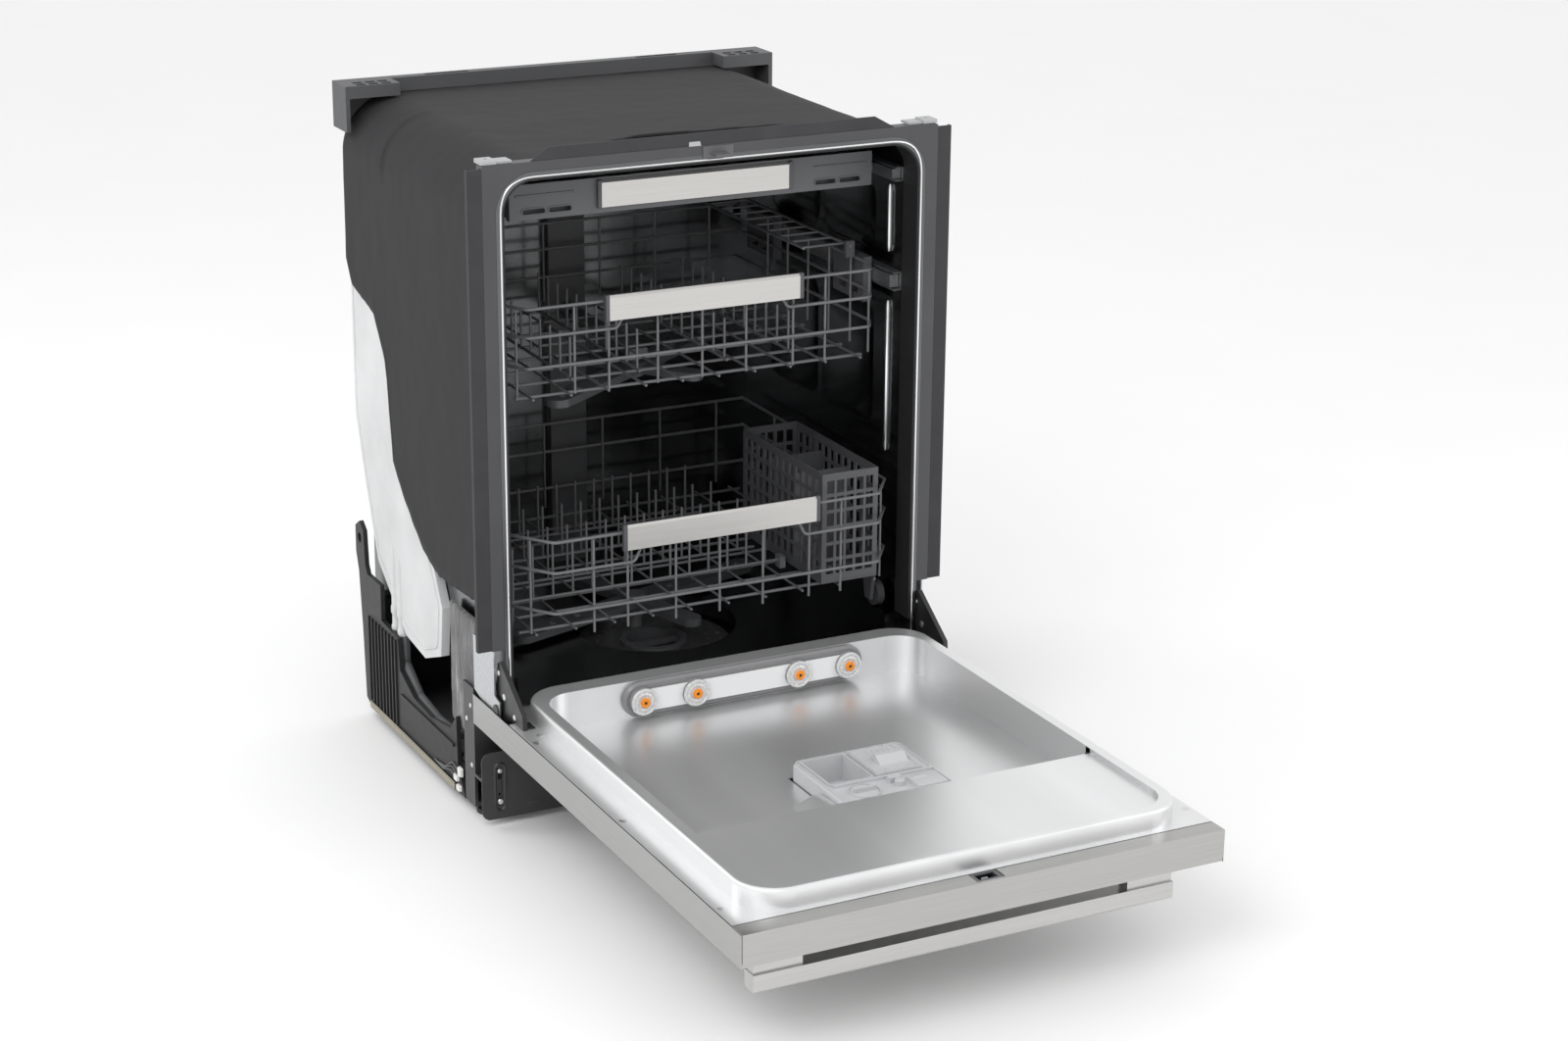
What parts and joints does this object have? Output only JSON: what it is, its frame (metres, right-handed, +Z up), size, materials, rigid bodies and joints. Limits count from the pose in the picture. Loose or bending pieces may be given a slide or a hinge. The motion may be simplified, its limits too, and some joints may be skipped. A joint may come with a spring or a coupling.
{
  "type": "built-in dishwasher",
  "caption": "Built-in dishwasher with a drop-down door, three pull-out racks, spray arms, filter, detergent dispenser, front frame with side trims and an open moulded base.",
  "frame": {"origin": "middle of the footprint on the floor, under the centre of the whole machine with its door lying open", "axes": "+Z up; -Y towards the tip of the open door; +Y towards the back of the cabinet; +X to the right seen from the front"},
  "size_m": [0.64, 1.182, 0.86],
  "materials": {
    "stainless_tub": "satin drawn stainless",
    "stainless_liner": "bright drawn stainless",
    "brushed_skin": "fine brushed, silver",
    "brushed_strip": "fine brushed",
    "handle_steel": "fine brushed",
    "plate_steel": "brushed",
    "galvanised": "galvanised sheet",
    "spring_steel": "oiled spring wire",
    "rail_steel": "rolled steel",
    "filter_steel": "etched mesh",
    "seal_rubber": "matt black",
    "trim_rubber": "matt black",
    "dark_frame": "dark satin enamel",
    "arm_black": "black satin",
    "kick_black": "black satin",
    "bitumen_felt": "felt over bitumen",
    "fibre_felt": "loose recycled fibre",
    "base_black": "moulded, matt",
    "foot_black": "moulded, matt",
    "catch_black": "moulded",
    "grey_plastic": "moulded",
    "light_plastic": "moulded, light grey",
    "white_translucent": "milky translucent",
    "white_plastic": "moulded white",
    "hose_grey": "corrugated, grey",
    "sump_grey": "moulded",
    "pump_grey": "moulded",
    "conduit_grey": "moulded, mid grey",
    "bar_grey": "satin moulded",
    "jet_clear": "clear with an amber core",
    "dispenser_grey": "moulded",
    "wire_grey": "nylon coated wire",
    "basket_grey": "moulded",
    "tray_grey": "moulded"
  },
  "bodies": {
    "cabinet": {"tub": "stainless_tub", "tub_floor": "stainless_tub", "tub_gasket": "seal_rubber", "front_frame": "dark_frame", "frame_trims": "trim_rubber", "corner_clips": "grey_plastic", "door_catch": "catch_black", "insulation_blanket": "bitumen_felt", "rear_bracket": "light_plastic", "base_pan": "base_black", "leg_brackets": "kick_black", "rear_feet": "foot_black", "kick_plate": "kick_black", "hinge_plates": "galvanised", "door_springs": "spring_steel", "felt_pads": "fibre_felt", "air_break": "white_translucent", "drain_hose": "hose_grey", "inlet_valve": "white_plastic", "sump": "sump_grey", "wash_pump": "pump_grey", "drain_pump": "pump_grey", "steam_generator": "white_plastic", "water_conduit": "conduit_grey", "filter_plate": "filter_steel", "rack_rails": "rail_steel"},
    "door": {"door_outer_panel": "brushed_skin", "door_liner": "stainless_liner", "control_panel": "brushed_strip", "door_handle": "handle_steel", "hinge_arms": "arm_black", "nozzle_bar": "bar_grey", "steam_jets": "jet_clear", "dispenser_body": "dispenser_grey", "latch_housing": "catch_black"},
    "foot_left": {"front_foot_left": "foot_black"},
    "foot_right": {"front_foot_right": "foot_black"},
    "filter": {"filter_cup": "conduit_grey"},
    "lower_sprayer": {"lower_spray_arm": "conduit_grey"},
    "upper_sprayer": {"upper_spray_arm": "conduit_grey"},
    "top_sprayer": {"top_spray_arm": "conduit_grey"},
    "cup_lid": {"detergent_lid": "dispenser_grey"},
    "rinse_plug": {"rinse_cap": "dispenser_grey"},
    "latch": {"latch_hook": "rail_steel"},
    "lower_basket": {"lower_rack": "wire_grey", "lower_plate": "plate_steel", "cutlery_basket": "basket_grey"},
    "tines": {"folding_tines": "wire_grey"},
    "front_wheels": {"wheels_front": "basket_grey"},
    "rear_wheels": {"wheels_rear": "basket_grey"},
    "upper_basket": {"upper_rack": "wire_grey", "upper_plate": "plate_steel", "height_adjusters": "basket_grey", "upper_feed": "conduit_grey"},
    "upper_slides": {"upper_runners": "rail_steel"},
    "shelf": {"cup_shelf": "wire_grey"},
    "cutlery_tray": {"third_tray": "tray_grey", "third_front": "tray_grey", "third_plate": "plate_steel"},
    "tray_slides": {"third_runners": "rail_steel"}
  },
  "joints": [
    {"name": "door_hinge", "type": "hinge", "parent": "cabinet", "child": "door", "pos_m": [0, 0.085, 0.1745], "axis": [-1, 0, 0], "range_deg": [0, 90]},
    {"name": "lower_rack_slide", "type": "slide", "parent": "cabinet", "child": "lower_basket", "axis": [0, 1, 0], "range_m": [-0.48, 0]},
    {"name": "front_wheel_roll", "type": "hinge", "parent": "lower_basket", "child": "front_wheels", "pos_m": [0, 0.155, 0.2165], "axis": [-1, 0, 0], "continuous": true},
    {"name": "rear_wheel_roll", "type": "hinge", "parent": "lower_basket", "child": "rear_wheels", "pos_m": [0, 0.475, 0.2165], "axis": [-1, 0, 0], "continuous": true},
    {"name": "tine_fold", "type": "hinge", "parent": "lower_basket", "child": "tines", "pos_m": [0, 0.195, 0.267], "axis": [1, 0, 0], "range_deg": [0, 88]},
    {"name": "upper_rack_slide", "type": "slide", "parent": "cabinet", "child": "upper_basket", "axis": [0, 1, 0], "range_m": [-0.42, 0]},
    {"name": "upper_runner_slide", "type": "slide", "parent": "cabinet", "child": "upper_slides", "axis": [0, 1, 0], "range_m": [-0.21, 0]},
    {"name": "cup_shelf_fold", "type": "hinge", "parent": "upper_basket", "child": "shelf", "pos_m": [0.236, 0.34, 0.676], "axis": [0, 1, 0], "range_deg": [0, 85]},
    {"name": "third_rack_slide", "type": "slide", "parent": "cabinet", "child": "cutlery_tray", "axis": [0, 1, 0], "range_m": [-0.4, 0]},
    {"name": "third_runner_slide", "type": "slide", "parent": "cabinet", "child": "tray_slides", "axis": [0, 1, 0], "range_m": [-0.2, 0]},
    {"name": "lower_spray_turn", "type": "hinge", "parent": "cabinet", "child": "lower_sprayer", "pos_m": [0, 0.332, 0.184], "axis": [0, 0, 1], "continuous": true},
    {"name": "upper_spray_turn", "type": "hinge", "parent": "upper_basket", "child": "upper_sprayer", "pos_m": [0, 0.332, 0.505], "axis": [0, 0, 1], "continuous": true},
    {"name": "top_spray_turn", "type": "hinge", "parent": "cabinet", "child": "top_sprayer", "pos_m": [0, 0.332, 0.798], "axis": [0, 0, 1], "continuous": true},
    {"name": "detergent_lid_slide", "type": "slide", "parent": "door", "child": "cup_lid", "axis": [1, 0, 0], "range_m": [-0.058, 0]},
    {"name": "rinse_cap_turn", "type": "hinge", "parent": "door", "child": "rinse_plug", "pos_m": [-0.008, -0.317, 0.16], "axis": [0, 0, 1], "range_deg": [0, 90]},
    {"name": "latch_swing", "type": "hinge", "parent": "door", "child": "latch", "pos_m": [0, -0.57, 0.15], "axis": [1, 0, 0], "range_deg": [0, 25]},
    {"name": "filter_twist", "type": "hinge", "parent": "cabinet", "child": "filter", "pos_m": [0, 0.275, 0.14], "axis": [0, 0, 1], "range_deg": [0, 45]},
    {"name": "left_foot_screw", "type": "hinge", "parent": "cabinet", "child": "foot_left", "pos_m": [-0.272, 0.18, 0.01], "axis": [0, 0, 1], "continuous": true},
    {"name": "right_foot_screw", "type": "hinge", "parent": "cabinet", "child": "foot_right", "pos_m": [0.272, 0.18, 0.01], "axis": [0, 0, 1], "continuous": true}
  ],
  "couplings": [
    {"joint": "front_wheel_roll", "follows": "lower_rack_slide", "rad_per_m": 58.824},
    {"joint": "rear_wheel_roll", "follows": "lower_rack_slide", "rad_per_m": 58.824},
    {"joint": "upper_runner_slide", "follows": "upper_rack_slide", "ratio": 0.5},
    {"joint": "third_runner_slide", "follows": "third_rack_slide", "ratio": 0.5}
  ]
}
